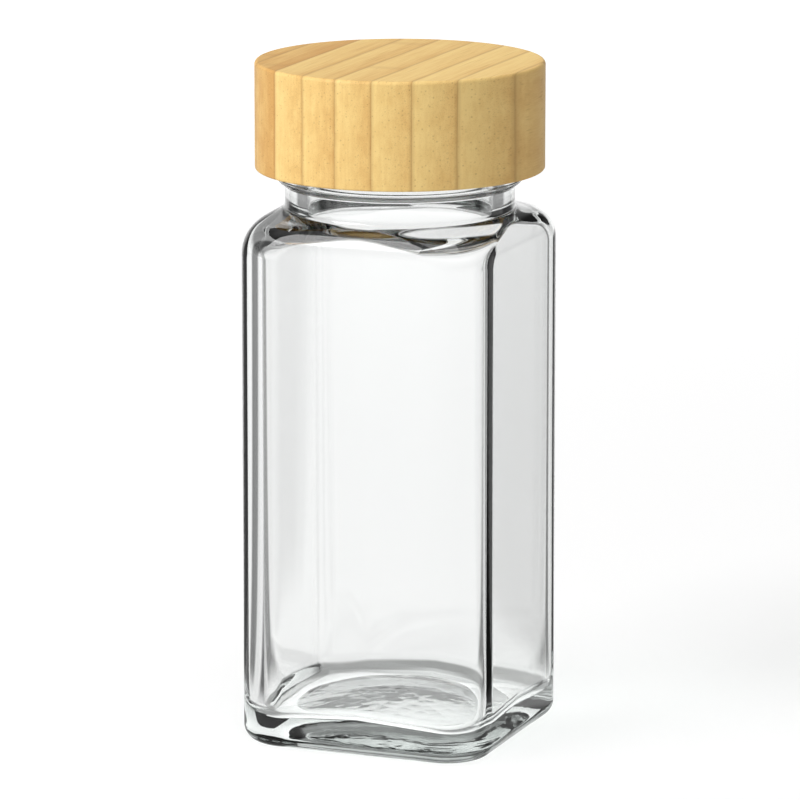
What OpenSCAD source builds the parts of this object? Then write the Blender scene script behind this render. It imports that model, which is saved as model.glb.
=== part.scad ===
// Square clear glass spice jar with a round bamboo screw lid.
// The jar stands on Z = 0 with its axis on Z. Its flat sides face X and Y.

/* [Glass body] */
// Width of the square body across its flat sides
body_w = 43; // [40:0.5:56]
// Height of the shoulder where it meets the neck
shoulder_z = 87; // [60:1:130]
// Radius of the four upright corners
corner_r = 8; // [6:0.25:11]
// Thickness of the side walls
side_wall = 2.7; // [2:0.1:3.5]
// Radius of the upright corners inside, where the glass is thicker than along the sides
inner_corner_r = 6; // [4:0.25:11]
// Radius of the edge between the sides and the base
heel_r = 2.8; // [2:0.1:4]
// Radius of the edge between the sides and the shoulder
shoulder_r = 5.5; // [4:0.25:6]
// Fall of the shoulder from the neck towards the corners, in degrees
shoulder_fall = 14; // [8:1:20]
// Thickness of the shoulder
shoulder_wall = 2.9; // [2:0.1:3.5]

/* [Glass base] */
// Height of the middle of the inner floor
floor_z = 6.6; // [5:0.1:9]
// Radius of the sphere that the inner floor is a cap of
floor_dome_r = 110; // [80:5:200]
// Radius of the edge between the inner floor and the inner walls
floor_edge_r = 3; // [2:0.25:3.5]
// Depth of the hollow under the base
push_up = 1.4; // [0.6:0.1:2.5]
// Width of the flat ring that the jar stands on, between the base's edge and the hollow
bearing_w = 2.7; // [1.5:0.1:5]

/* [Neck] */
// Diameter of the mouth
mouth_d = 30; // [28:0.1:31]
// Thickness of the wall that carries the screw thread
finish_wall = 2.55; // [2.2:0.05:3]
// Height of the wall that carries the screw thread
finish_h = 10.9; // [9:0.1:14]
// Step from that wall out to the neck below the bead
neck_step = 1.1; // [0.5:0.05:1.5]
// Height of the neck between the shoulder and the bead
neck_h = 4.2; // [3:0.1:6]
// Radius of the cove between the shoulder and the neck
neck_cove_r = 1.2; // [0.6:0.1:2]
// Step from the threaded wall out to the crest of the bead
bead_reach = 2.45; // [2:0.05:2.5]
// Height of the bead under the lid
bead_h = 2.3; // [1.6:0.1:3]
// Radius of the rim's outer edge
rim_r = 0.9; // [0.4:0.1:1.1]
// Radius of the rim's inner edge
mouth_rim_r = 0.5; // [0.2:0.1:0.8]
// Radius of the edge where the mouth opens into the body
mouth_edge_r = 1.6; // [0.8:0.1:2]

/* [Sifter] */
// Thickness of the flange that sits on the rim
flange_t = 0.8; // [0.6:0.1:1.2]
// Step from the neck's outside in to the edge of the flange
flange_step = 0.55; // [0.2:0.05:0.9]
// Depth of the plug below the rim
plug_depth = 6; // [4:0.5:9]
// Wall of the plug
plug_wall = 1.1; // [0.8:0.1:1.6]
// Gap between the plug's two sealing ribs and the mouth
plug_gap = 0.1; // [0.05:0.01:0.15]
// Height of a sealing rib
rib_h = 1.2; // [0.8:0.1:1.6]
// Depth of the ribs' crest over the plug's wall
rib_d = 0.4; // [0.2:0.05:0.6]
// Depth of the perforated plate below the top of the flange
plate_sink = 1.4; // [1:0.1:2.5]
// Thickness of the perforated plate
plate_t = 1; // [0.8:0.1:1.5]
// Diameter of a sifter hole
hole_d = 3; // [2:0.1:3.4]
// Distance from one ring of holes to the next
hole_pitch = 4.6; // [4.3:0.1:4.8]
// Number of rings of holes around the middle one
hole_rings = 2; // [1:1:2]

/* [Sealing disc] */
// Thickness of the disc
seal_t = 1.2; // [0.8:0.1:2]
// Gap between the disc and the cap around it
seal_gap = 0.6; // [0.4:0.05:0.7]

/* [Inner cap] */
// Room between the neck and the cap's skirt, for the thread
thread_room = 1.45; // [1.35:0.05:1.7]
// Wall of the skirt
cap_wall = 1.1; // [0.8:0.1:1.4]
// Thickness of the cap's roof
cap_roof = 1.2; // [0.8:0.1:2]
// Height of the cap's lower edge above the lid's lower edge
cap_inset = 0.4; // [0.2:0.1:1]
// Reach of the lip that keeps the disc in the cap
lip_reach = 0.9; // [0.75:0.05:1]
// Height of that lip
lip_h = 0.6; // [0.4:0.1:0.8]
// Gap between the lip and the disc above it
lip_gap = 0.2; // [0.1:0.05:0.3]

/* [Bamboo lid] */
// Thickness of bamboo around the inner cap
lid_wall = 3.35; // [2.5:0.05:5]
// Thickness of bamboo over the inner cap
lid_roof = 3.5; // [2:0.1:5]
// Gap between the top of the bead and the lid's lower edge
lid_gap = 0; // [0:0.1:0.4]
// Glue gap around the inner cap
glue_gap = 0.05; // [0.03:0.01:0.1]
// Radius of the lid's upper edge
lid_edge_r = 0.6; // [0.3:0.1:1.5]
// Chamfer on the lid's lower edge
lid_chamfer = 0.3; // [0.2:0.1:0.6]

/* [Hidden] */
$fn = 96;

// Overlap that joins or cuts solids cleanly
eps = 0.01;
// Reach of a cutting shape past what it cuts
past = 20;

body_corner_at = body_w / 2 - corner_r;
body_reach = body_corner_at * sqrt(2) + corner_r;
push_up_d = body_w - 2 * (heel_r + bearing_w);

finish_r = mouth_d / 2 + finish_wall;
neck_r = finish_r + neck_step;
bead_r = finish_r + bead_reach;
bead_z = shoulder_z + neck_h;
finish_z = bead_z + bead_h;
rim_z = finish_z + finish_h;

cavity_w = body_w - 2 * side_wall;
cavity_reach = (cavity_w / 2 - inner_corner_r) * sqrt(2) + inner_corner_r;
cavity_edge_r = shoulder_r - side_wall;
cavity_top_z = inner_slope_z(mouth_d / 2);
floor_low_z = floor_z - dome_drop(floor_dome_r, cavity_w / sqrt(2));

plug_r = mouth_d / 2 - plug_gap - rib_d;
flange_top_z = rim_z + flange_t;
plate_top_z = flange_top_z - plate_sink;
seal_top_z = flange_top_z + seal_t;
cap_top_z = seal_top_z + cap_roof;
flange_r = finish_r - flange_step;
cap_bore_r = finish_r + thread_room;
seal_r = cap_bore_r - seal_gap;
cap_low_z = finish_z + lid_gap + cap_inset;
lip_top_z = flange_top_z - lip_gap;
lid_bore_r = cap_bore_r + cap_wall + glue_gap;
lid_r = lid_bore_r + lid_wall;
lid_low_z = finish_z + lid_gap;
lid_top_z = cap_top_z + lid_roof;

// How far a sphere's surface drops at a distance from its top
function dome_drop(ball_r, reach) = ball_r - sqrt(pow(ball_r, 2) - pow(reach, 2));

// Radius of the sphere that makes a hollow of one depth and diameter
function hollow_r(depth, width) = (pow(width / 2, 2) + pow(depth, 2)) / (2 * depth);

// Half profile from the axis out, with a rounded lower and upper corner
module edge_profile(reach, low, high, low_r, high_r) {
    difference() {
        translate([0, low]) square([reach, high - low]);
        translate([reach - low_r, low + low_r]) corner_waste(low_r, -1);
        translate([reach - high_r, high - high_r]) corner_waste(high_r, 1);
    }
}

// What a rounded corner of a profile takes away, above its centre (1) or below it (-1)
module corner_waste(r, side) {
    difference() {
        translate([0, side > 0 ? 0 : -r - eps]) square([r + eps, r + eps]);
        circle(r);
    }
}

// Block with a rounded square outline and rounded lower and upper edges
module soft_block(width, corner, low, high, low_r, high_r) {
    at = width / 2 - corner;
    for (turn = [0:90:270])
        rotate(turn) translate([at, at]) rotate_extrude(angle = 90)
            edge_profile(corner, low, high, low_r, high_r);
    for (turn = [0, 90])
        rotate(turn) rotate([90, 0, 0]) linear_extrude(2 * at, center = true) {
            edge_profile(width / 2, low, high, low_r, high_r);
            mirror([1, 0]) edge_profile(width / 2, low, high, low_r, high_r);
        }
}

// Round shoulder that falls away from the axis and turns down at the corners
module shoulder_form(reach, top_z, edge_r) {
    arc_x = reach - edge_r;
    slope_end = arc_x + edge_r * sin(shoulder_fall);
    slope_end_z = top_z - slope_end * tan(shoulder_fall);
    arc_z = slope_end_z - edge_r * cos(shoulder_fall);
    rotate_extrude() {
        polygon([[0, -past], [reach, -past], [reach, arc_z], [arc_x, arc_z], [slope_end, slope_end_z],
                 [0, top_z]]);
        intersection() {
            translate([arc_x, arc_z]) circle(edge_r);
            translate([arc_x, arc_z]) square(edge_r + eps);
        }
    }
}

// Outside of the body under the neck
module body_form() {
    intersection() {
        soft_block(body_w, corner_r, 0, block_top_z(), heel_r, shoulder_r);
        shoulder_form(body_reach + eps, shoulder_apex_z(), shoulder_r);
    }
}

// Height of the flat sided block, whose upper edge passes through the foot of the neck
function block_top_z() =
    shoulder_z + shoulder_r - sqrt(pow(shoulder_r, 2) - pow(neck_r - body_w / 2 + shoulder_r, 2));

// Height of the shoulder's slope, carried on to the axis
function shoulder_apex_z() = shoulder_z + neck_r * tan(shoulder_fall);

// Space inside the body under the neck
module cavity_form() {
    difference() {
        intersection() {
            soft_block(cavity_w, inner_corner_r, floor_low_z, cavity_top_z, floor_edge_r, cavity_edge_r);
            shoulder_form(cavity_reach, inner_slope_z(0), cavity_edge_r);
        }
        translate([0, 0, floor_z - floor_dome_r]) sphere(floor_dome_r);
    }
}

// Neck, bead and the wall for the thread, from inside the body up to the rim
module neck_form() {
    rotate_extrude() {
        translate([0, shoulder_z - shoulder_wall]) square([neck_r, neck_h + shoulder_wall + eps]);
        difference() {
            translate([0, shoulder_z - neck_cove_r]) square([neck_r + neck_cove_r, 2 * neck_cove_r]);
            translate([neck_r + neck_cove_r, shoulder_z + neck_cove_r]) circle(neck_cove_r);
        }
        translate([0, bead_z]) square([bead_r - bead_h / 2, bead_h]);
        translate([bead_r - bead_h / 2, bead_z + bead_h / 2]) circle(bead_h / 2);
        edge_profile(finish_r, finish_z - eps, rim_z, eps, rim_r);
    }
}

// Bore of the mouth, rounded at the rim and where it opens into the body
module mouth_form() {
    bore_r = mouth_d / 2;
    low_z = inner_slope_z(bore_r);
    round_x = bore_r + mouth_edge_r;
    round_z = inner_slope_z(round_x) + mouth_edge_r / cos(shoulder_fall);
    translate([0, 0, low_z - past / 2]) cylinder(r = bore_r, h = rim_z - low_z + past);
    rotate_extrude() {
        difference() {
            polygon([[0, round_z], [round_x, round_z],
                     [round_x - mouth_edge_r * sin(shoulder_fall), round_z - mouth_edge_r * cos(shoulder_fall)],
                     [bore_r, low_z - eps], [0, low_z - eps]]);
            translate([round_x, round_z]) circle(mouth_edge_r);
        }
        difference() {
            translate([0, rim_z - mouth_rim_r]) square([bore_r + mouth_rim_r, mouth_rim_r + eps]);
            translate([bore_r + mouth_rim_r, rim_z - mouth_rim_r]) circle(mouth_rim_r);
        }
    }
}

// Height of the shoulder's underside at a distance from the axis
function inner_slope_z(reach) = shoulder_apex_z() - shoulder_wall - reach * tan(shoulder_fall);

module glass_jar() {
    color([0.86, 0.92, 0.9, 0.35]) difference() {
        union() {
            body_form();
            neck_form();
        }
        cavity_form();
        mouth_form();
        translate([0, 0, push_up - hollow_r(push_up, push_up_d)]) sphere(hollow_r(push_up, push_up_d));
    }
}

// Centres of the sifter's holes: one in the middle, then rings of 6, 12 and so on
function hole_places() = concat([[0, 0]], [
    for (ring = [1:hole_rings], i = [0:6 * ring - 1])
        hole_pitch * ring * [cos(60 * i / ring), sin(60 * i / ring)]
]);

module sifter() {
    color([0.93, 0.93, 0.91]) difference() {
        rotate_extrude() {
            edge_profile(flange_r, rim_z, flange_top_z, eps, flange_t / 3);
            translate([0, rim_z - plug_depth]) square([plug_r, plug_depth + eps]);
            for (z = [rim_z - plug_depth * 0.3, rim_z - plug_depth * 0.7]) rib_profile(z);
        }
        translate([0, 0, plate_top_z]) cylinder(r = plug_r - plug_wall, h = plate_sink + eps);
        translate([0, 0, rim_z - plug_depth - eps])
            cylinder(r = plug_r - plug_wall, h = plate_top_z - plate_t - rim_z + plug_depth + eps);
        for (place = hole_places())
            translate([place.x, place.y, plate_top_z - plate_t - eps]) cylinder(d = hole_d, h = plate_t + 2 * eps);
    }
}

// Sealing rib around the plug, with its crest at one height
module rib_profile(z) {
    polygon([[0, z - rib_h / 2], [plug_r, z - rib_h / 2], [plug_r + rib_d, z], [plug_r, z + rib_h / 2],
             [0, z + rib_h / 2]]);
}

module sealing_disc() {
    color([0.95, 0.95, 0.93]) translate([0, 0, flange_top_z]) cylinder(r = seal_r, h = seal_t);
}

module inner_cap() {
    color([0.96, 0.95, 0.92]) {
        rotate_extrude() {
            translate([cap_bore_r, cap_low_z]) square([cap_wall, cap_top_z - cap_low_z]);
            translate([0, seal_top_z]) square([cap_bore_r + cap_wall / 2, cap_roof]);
        }
        rotate_extrude() lip_profile();
    }
}

// Lip with a sloped underside, so that the disc snaps in past it
module lip_profile() {
    root = cap_bore_r + cap_wall / 2;
    low = lip_top_z - lip_h - lip_reach;
    polygon([[root, low], [cap_bore_r, low], [cap_bore_r - lip_reach, lip_top_z - lip_h],
             [cap_bore_r - lip_reach, lip_top_z], [root, lip_top_z]]);
}

module bamboo_lid() {
    color([0.89, 0.73, 0.47]) difference() {
        rotate_extrude() difference() {
            edge_profile(lid_r, lid_low_z, lid_top_z, eps, lid_edge_r);
            translate([lid_r, lid_low_z]) rotate(45) square(lid_chamfer * sqrt(2), center = true);
        }
        translate([0, 0, lid_low_z - eps])
            cylinder(r = lid_bore_r, h = cap_top_z - lid_low_z + eps);
    }
}

glass_jar();
sifter();
sealing_disc();
inner_cap();
bamboo_lid();
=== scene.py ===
"""Square glass spice jar with a laminated bamboo lid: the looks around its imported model.

Sizes are in millimetres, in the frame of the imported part: the jar stands on z = 0, its axis is Z, and the
camera looks from the front right. Each mesh is in metres.
"""

import logging
import math
from dataclasses import dataclass
from enum import Enum, IntFlag
from typing import Callable, Iterable, NamedTuple, Sequence

import bmesh
import bpy
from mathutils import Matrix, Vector


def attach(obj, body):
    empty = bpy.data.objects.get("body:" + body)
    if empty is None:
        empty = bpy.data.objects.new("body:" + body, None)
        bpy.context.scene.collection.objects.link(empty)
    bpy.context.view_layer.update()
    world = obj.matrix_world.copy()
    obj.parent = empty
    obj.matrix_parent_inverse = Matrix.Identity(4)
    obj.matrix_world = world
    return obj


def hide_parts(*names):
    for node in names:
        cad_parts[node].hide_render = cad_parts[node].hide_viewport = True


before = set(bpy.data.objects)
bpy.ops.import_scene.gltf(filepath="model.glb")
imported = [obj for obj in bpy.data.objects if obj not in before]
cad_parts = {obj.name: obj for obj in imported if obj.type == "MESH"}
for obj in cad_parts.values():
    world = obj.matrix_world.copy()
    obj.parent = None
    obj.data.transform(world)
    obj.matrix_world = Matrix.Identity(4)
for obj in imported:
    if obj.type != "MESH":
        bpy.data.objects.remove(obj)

LOG = logging.getLogger("spice_jar")
MM = 0.001
TOUCHING = 1e-6
PITCH = 4.233
NO_MOVE = {"value": (0.0, 0.0, 0.0)}

Point = tuple[float, float]
Triple = tuple[float, float, float]
Colour = tuple[float, float, float, float]
Settings = dict[str | int, object]
Socket = bpy.types.NodeSocket


class Slot(Enum):
    """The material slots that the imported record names."""

    GLASS = "clear_glass"
    PLASTIC = "white_plastic"
    FOAM = "foam"
    BAMBOO = "bamboo"


class Body(Enum):
    """The bodies that pieces ride on."""

    JAR = "jar"
    SIFTER = "sifter"
    SEAL = "seal"
    LID = "lid"


class Way(Enum):
    """The ways in which the line of a profile runs."""

    OUT = (1.0, 0.0)
    IN = (-1.0, 0.0)
    UP = (0.0, 1.0)
    DOWN = (0.0, -1.0)


class Edge(Enum):
    """The edges of a turned piece that a quarter arc rounds, each with the angle at which its arc starts."""

    LOW_OUTER = -90.0
    TOP_OUTER = 0.0
    TOP_INNER = 90.0


class End(IntFlag):
    """The ends of a quarter of the glass, by the plane that each lies on before its corner is spread."""

    ON_XZ = 1
    ON_YZ = 2


def grey(level: float) -> Colour:
    """Gives a grey as a shader takes it, from 0 for black to 1 for white."""
    return (level, level, level, 1.0)


def tone(red: int, green: int, blue: int) -> Colour:
    """Turns a colour as a screen shows it into the linear values that a shader takes.

    Args:
        red: Red from 0 to 255.
        green: Green from 0 to 255.
        blue: Blue from 0 to 255.

    Returns:
        The colour as four linear values, the last of them 1.
    """
    parts = []
    for level in (red, green, blue):
        share = level / 255
        parts.append(share / 12.92 if share <= 0.04045 else ((share + 0.055) / 1.055) ** 2.4)
    return (parts[0], parts[1], parts[2], 1.0)


def arc(centre: Point, radius: float, start: float, end: float, steps: int) -> list[Point]:
    """Gives the points of an arc in a profile.

    Args:
        centre: The centre, as distance from the axis and height.
        radius: The radius.
        start: The angle of the first point in degrees, from outwards towards up.
        end: The angle of the last point.
        steps: How many steps lie between them.

    Returns:
        The points from the first to the last.
    """
    turns = (math.radians(angle) for angle in spaced(start, end, steps))
    return [(centre[0] + radius * math.cos(turn), centre[1] + radius * math.sin(turn)) for turn in turns]


def rounded(edge: Edge, corner: Point, radius: float, steps: int) -> list[Point]:
    """Rounds an edge of a turned piece with a quarter arc.

    Args:
        edge: Which edge it is.
        corner: Where the edge would be if it were sharp.
        radius: The arc's radius.
        steps: How many steps the arc has.

    Returns:
        The arc's points.
    """
    middle = math.radians(edge.value + 45)
    reach = corner[0] - math.copysign(radius, math.cos(middle))
    height = corner[1] - math.copysign(radius, math.sin(middle))
    return arc((reach, height), radius, edge.value, edge.value + 90, steps)


def softened(corner: Point, back: Way, onward: Way, size: float, middle: float | None = None) -> list[Point]:
    """Cuts a square corner of a profile off, or softens it over a point in the middle.

    Args:
        corner: The corner.
        back: The way from the corner to where the line comes from.
        onward: The way in which the line goes on.
        size: How far from the corner the cut starts and ends.
        middle: How far from the corner, both ways, the middle point lies, if there is one.

    Returns:
        The two or three points in order.
    """
    places = [(back.value, (0.0, 0.0), size), (onward.value, (0.0, 0.0), size)]
    if middle is not None:
        places.insert(1, (back.value, onward.value, middle))
    return [
        (corner[0] + (first[0] + second[0]) * far, corner[1] + (first[1] + second[1]) * far)
        for first, second, far in places
    ]


def spaced(low: float, high: float, steps: int) -> list[float]:
    """Gives the numbers from low to high in equal steps, both ends among them."""
    return [low + (high - low) * i / steps for i in range(steps + 1)]


def towards(azimuth: float, elevation: float = 0.0) -> Vector:
    """Gives the direction from the jar to a place, with azimuth 0 in front and turning towards +X."""
    side, up = math.radians(azimuth), math.radians(elevation)
    return Vector((math.sin(side) * math.cos(up), -math.cos(side) * math.cos(up), math.sin(up)))


# Modelling


class Bench:
    """One mesh under work: it starts as a plane, and is drawn and shaped in edit mode by operators."""

    def __init__(self, name: str) -> None:
        """Adds a plane and gathers it to one point on the axis, the start of a drawn line."""
        bpy.ops.object.select_all(action="DESELECT")
        bpy.ops.mesh.primitive_plane_add(size=MM, enter_editmode=True)
        self.piece: bpy.types.Object = bpy.context.object
        self.piece.name = name
        self.piece.data.name = name
        bpy.ops.mesh.merge(type="CENTER")
        self.pen = Vector((0.0, 0.0, 0.0))

    def draw(self, points: Sequence[Point]) -> None:
        """Draws a profile in the plane of X and Z by extruding the line from point to point.

        Args:
            points: Distance from the axis and height of each point.
        """
        for number, (reach, height) in enumerate(points):
            target = Vector((reach * MM, 0.0, height * MM))
            step = tuple(target - self.pen)
            if number == 0:
                bpy.ops.transform.translate(value=step)
            else:
                bpy.ops.mesh.extrude_region_move(TRANSFORM_OT_translate={"value": step})
            self.pen = target

    def spin(self, degrees: float, steps: int) -> None:
        """Spins the drawn line about the axis. With no window, an angle above 0 turns it towards -Y."""
        bpy.ops.mesh.select_all(action="SELECT")
        bpy.ops.mesh.spin(steps=steps, angle=math.radians(degrees), center=(0, 0, 0), axis=(0, 0, 1))

    def close(self) -> None:
        """Merges what touches and turns every face outwards."""
        bpy.ops.mesh.select_all(action="SELECT")
        bpy.ops.mesh.remove_doubles(threshold=TOUCHING)
        bpy.ops.mesh.normals_make_consistent(inside=False)

    def mark(self, name: str, number: Callable[[int, bmesh.types.BMVert], int]) -> None:
        """Gives each point a whole number, which a spin or an extrusion hands on.

        Args:
            name: What the numbers are called.
            number: Takes a point's place in the list and the point, and gives its number.
        """
        mesh = bmesh.from_edit_mesh(self.piece.data)
        layer = mesh.verts.layers.int.new(name)
        for place, vertex in enumerate(mesh.verts):
            vertex[layer] = number(place, vertex)
        bmesh.update_edit_mesh(self.piece.data)

    def pick(self, name: str, wanted: Iterable[int]) -> None:
        """Selects the points with certain numbers, and the edges and faces between them.

        Args:
            name: What the numbers are called.
            wanted: The numbers.
        """
        bpy.ops.mesh.select_all(action="DESELECT")
        mesh = bmesh.from_edit_mesh(self.piece.data)
        layer = mesh.verts.layers.int[name]
        chosen = set(wanted)
        for vertex in mesh.verts:
            if vertex[layer] in chosen:
                vertex.select_set(True)
        mesh.select_flush_mode()
        mesh.select_flush(True)
        bmesh.update_edit_mesh(self.piece.data)

    def enter(self) -> None:
        """Takes the piece up again in edit mode."""
        alone(self.piece)
        bpy.ops.object.mode_set(mode="EDIT")

    def leave(self) -> bpy.types.Object:
        """Leaves edit mode, and returns the piece."""
        bpy.ops.object.mode_set(mode="OBJECT")
        return self.piece

    def turn(self, points: Sequence[Point], steps: int) -> bpy.types.Object:
        """Turns a closed profile into a round piece.

        Args:
            points: The profile from axis to axis.
            steps: How many steps the turn has.

        Returns:
            The round piece, out of edit mode.
        """
        self.draw(points)
        self.spin(360, steps)
        self.close()
        return self.leave()


def alone(piece: bpy.types.Object) -> None:
    """Makes a piece the only one selected, and the active one."""
    bpy.ops.object.select_all(action="DESELECT")
    piece.select_set(True)
    bpy.context.view_layer.objects.active = piece


def finish_with(piece: bpy.types.Object, kind: str, **settings: object) -> None:
    """Adds a modifier to a piece and applies it.

    Args:
        piece: The piece.
        kind: The modifier's type.
        **settings: The modifier's settings by name.
    """
    alone(piece)
    modifier = piece.modifiers.new(kind.lower(), kind)
    for name, value in settings.items():
        setattr(modifier, name, value)
    bpy.ops.object.modifier_apply(modifier=modifier.name)


def smooth(piece: bpy.types.Object, degrees: float = 180.0) -> None:
    """Shades a piece smooth, keeps edges sharper than an angle, and lets its flat faces stay flat.

    Args:
        piece: The piece.
        degrees: The sharpest angle that is still smooth.
    """
    alone(piece)
    if degrees < 180:
        bpy.ops.object.shade_smooth_by_angle(angle=math.radians(degrees))
    else:
        bpy.ops.object.shade_smooth()
    finish_with(piece, "WEIGHTED_NORMAL", keep_sharp=True, weight=60)


def settle(piece: bpy.types.Object, body: Body, node: str) -> bpy.types.Object:
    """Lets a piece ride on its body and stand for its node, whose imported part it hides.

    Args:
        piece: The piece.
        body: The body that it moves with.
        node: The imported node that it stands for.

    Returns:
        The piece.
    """
    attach(piece, body.value)
    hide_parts(node)
    return piece


@dataclass(frozen=True)
class ThreadTurn:
    """One right-hand thread ridge, which rises with its pitch and fades at both ends."""

    start_height: float
    start_angle: float
    turns: float
    base: float
    height: float
    fade: float = 0.07
    crest: float = 1.4

    def share(self, place: Vector) -> float:
        """Gives how much of the ridge's height there is at a place, however far it is from the axis.

        Args:
            place: The place in metres.

        Returns:
            From 0 beside the ridge to 1 on its crest.
        """
        angle = math.atan2(place.y, place.x) - math.radians(self.start_angle)
        height = place.z / MM
        best = 0.0
        for turn in range(math.ceil(self.turns) + 2):
            along = angle / (2 * math.pi) + turn
            fade = min(min(along, self.turns - along) / self.fade, 1.0)
            off = abs(height - self.start_height - PITCH * along) / (self.base / 2)
            if fade > 0 and off < 1:
                rise = math.sqrt(math.sin(fade * math.pi / 2))
                best = max(best, rise * math.cos(off * math.pi / 2) ** self.crest)
        return best

    def raise_on(self, piece: bpy.types.Object, allowed: Callable[[Vector], bool]) -> None:
        """Raises the ridge from a fine wall: each point gets a weight, and a modifier moves it by that.

        Args:
            piece: The piece, whose wall has rows close enough for the ridge.
            allowed: Takes a place in metres and says whether the ridge may move it.
        """
        group = piece.vertex_groups.new(name="thread")
        for vertex in piece.data.vertices:
            share = self.share(vertex.co) if allowed(vertex.co) else 0.0
            if share > 0:
                group.add([vertex.index], share, "REPLACE")
        height = self.height * MM
        finish_with(piece, "DISPLACE", vertex_group=group.name, strength=height, mid_level=0.0)
        piece.vertex_groups.clear()


# Shader maths


class Ease(NamedTuple):
    """A soft passage: where it begins and where it is done, and what it gives before and after."""

    low: float
    high: float
    start: float = 0.0
    end: float = 1.0


class Value:
    """A number at each point of a surface. Its operators add the Math nodes that they need."""

    def __init__(self, board: "Board", socket: Socket) -> None:
        """Keeps the socket that gives the number."""
        self.board = board
        self.socket = socket

    def _maths(self, operation: str, *terms: object) -> "Value":
        """Adds one Math node, and returns its result."""
        settings = {"operation": operation}
        made = self.board.add("ShaderNodeMath", settings, {i: term for i, term in enumerate(terms)})
        return Value(self.board, made.outputs[0])

    def __add__(self, other: object) -> "Value":
        """Adds."""
        return self._maths("ADD", self, other)

    def __radd__(self, other: object) -> "Value":
        """Adds, with the number first."""
        return self._maths("ADD", other, self)

    def __sub__(self, other: object) -> "Value":
        """Subtracts."""
        return self._maths("SUBTRACT", self, other)

    def __rsub__(self, other: object) -> "Value":
        """Subtracts from a number."""
        return self._maths("SUBTRACT", other, self)

    def __mul__(self, other: object) -> "Value":
        """Multiplies."""
        return self._maths("MULTIPLY", self, other)

    def __rmul__(self, other: object) -> "Value":
        """Multiplies, with the number first."""
        return self._maths("MULTIPLY", other, self)

    def __truediv__(self, other: object) -> "Value":
        """Divides."""
        return self._maths("DIVIDE", self, other)

    def __rtruediv__(self, other: object) -> "Value":
        """Divides a number."""
        return self._maths("DIVIDE", other, self)

    def __pow__(self, other: object) -> "Value":
        """Raises to a power."""
        return self._maths("POWER", self, other)

    def __abs__(self) -> "Value":
        """Takes the size without the sign."""
        return self._maths("ABSOLUTE", self)

    def floor(self) -> "Value":
        """Rounds down."""
        return self._maths("FLOOR", self)

    def above(self, other: object) -> "Value":
        """Gives 1 where it is above another, and 0 elsewhere."""
        return self._maths("GREATER_THAN", self, other)

    def least(self, other: object) -> "Value":
        """Gives the smaller of the two."""
        return self._maths("MINIMUM", self, other)

    def most(self, other: object) -> "Value":
        """Gives the larger of the two."""
        return self._maths("MAXIMUM", self, other)

    def centred(self) -> "Value":
        """Moves a pattern from around 0.5 to around 0."""
        return self - 0.5

    def turned_from(self, other: object) -> "Value":
        """Gives the angle in degrees of a place that lies so far across and, by the other, so far ahead."""
        return self._maths("ARCTAN2", self, other) * math.degrees(1.0)

    def eased(self, ease: Ease) -> "Value":
        """Goes softly from one number to another, as an ease says."""
        sockets: Settings = {"Value": self, "From Min": ease.low, "From Max": ease.high}
        sockets |= {"To Min": ease.start, "To Max": ease.end}
        made = self.board.add("ShaderNodeMapRange", {"interpolation_type": "SMOOTHSTEP"}, sockets)
        return Value(self.board, made.outputs[0])


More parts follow.
